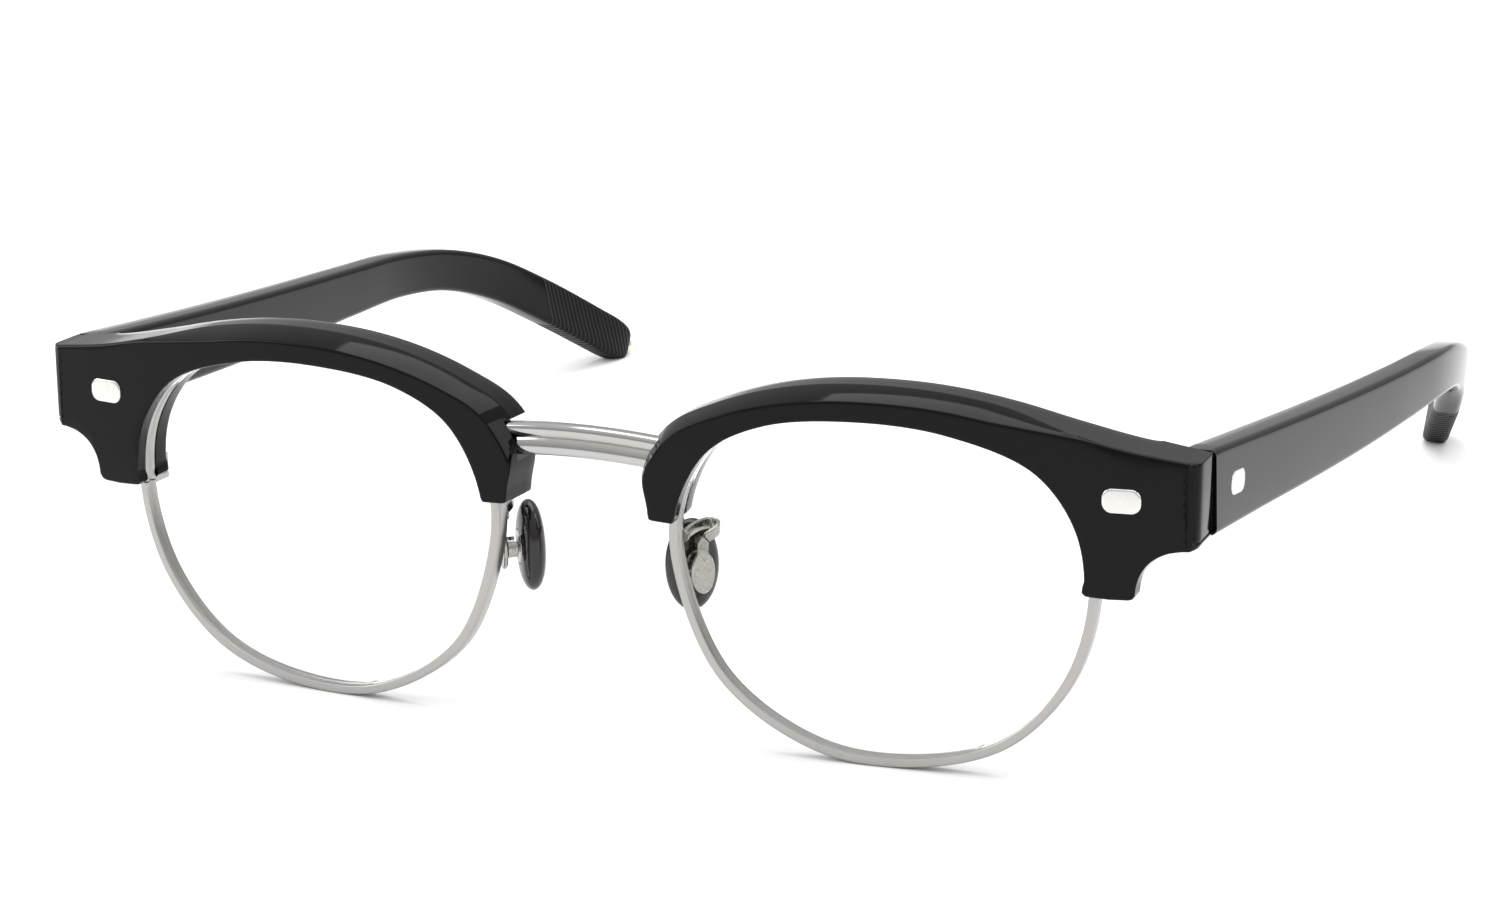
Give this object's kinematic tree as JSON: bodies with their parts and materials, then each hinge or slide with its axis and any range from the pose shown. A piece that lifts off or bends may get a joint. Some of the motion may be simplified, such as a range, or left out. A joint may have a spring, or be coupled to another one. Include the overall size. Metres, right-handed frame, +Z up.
{
  "type": "browline eyeglasses",
  "caption": "Browline eyeglasses: acetate brows over metal rims with clear lenses, rocking nose pads and folding acetate temples.",
  "frame": {"origin": "on the table, midway between the eyes and midway from the front of the brows to the temple tips", "axes": "+Z up from the table the open glasses stand on, -Y out of the front of the lenses, +Y along the temples, +X to the wearer's left"},
  "size_m": [0.1472, 0.1386, 0.0432],
  "materials": {
    "acetate": "polished black acetate",
    "satin_metal": "satin brushed silver",
    "polished_metal": "polished silver",
    "steel": "plain steel",
    "lens_clear": "clear, uncoated look",
    "pad_horn": "dark brown translucent, polished",
    "tip_brass": "pale polished"
  },
  "bodies": {
    "front": {"bridge": "polished_metal", "front_hinge_leaf_right": "steel", "front_hinge_leaf_left": "steel", "brow_right": "acetate", "brow_left": "acetate", "rim_right": "satin_metal", "rim_left": "satin_metal", "rim_lock_screw_right": "steel", "rim_lock_screw_left": "steel", "lens_right": "lens_clear", "lens_left": "lens_clear", "pad_arm_right": "polished_metal", "pad_arm_left": "polished_metal", "pad_box_right": "polished_metal", "pad_box_left": "polished_metal", "pad_pin_right": "steel", "pad_pin_left": "steel", "hinge_screw_right": "steel", "hinge_screw_left": "steel", "front_plaque_right": "polished_metal", "front_plaque_left": "polished_metal"},
    "temple_body_right": {"temple_right": "acetate", "temple_hinge_leaf_right": "steel", "temple_plaque_right": "polished_metal", "temple_core_wire_right": "steel", "temple_tip_bead_right": "tip_brass"},
    "nose_pad_body_right": {"nose_pad_right": "pad_horn", "pad_insert_right": "steel"},
    "temple_body_left": {"temple_left": "acetate", "temple_hinge_leaf_left": "steel", "temple_plaque_left": "polished_metal", "temple_core_wire_left": "steel", "temple_tip_bead_left": "tip_brass"},
    "nose_pad_body_left": {"nose_pad_left": "pad_horn", "pad_insert_left": "steel"}
  },
  "joints": [
    {"name": "temple_fold_right", "type": "hinge", "parent": "front", "child": "temple_body_right", "pos_m": [0.06799, -0.05702, 0.0327], "axis": [0, 0, 1], "range_deg": [0, 80]},
    {"name": "pad_rock_right", "type": "hinge", "parent": "front", "child": "nose_pad_body_right", "pos_m": [0.01371, -0.06266, 0.01895], "axis": [0.6691, 0.7431, 0], "range_deg": [-5, 5]},
    {"name": "temple_fold_left", "type": "hinge", "parent": "front", "child": "temple_body_left", "pos_m": [-0.06421, -0.05702, 0.0327], "axis": [0, 0, -1], "range_deg": [0, 90]},
    {"name": "pad_rock_left", "type": "hinge", "parent": "front", "child": "nose_pad_body_left", "pos_m": [-0.00993, -0.06266, 0.01895], "axis": [-0.6691, 0.7431, 0], "range_deg": [-5, 5]}
  ]
}
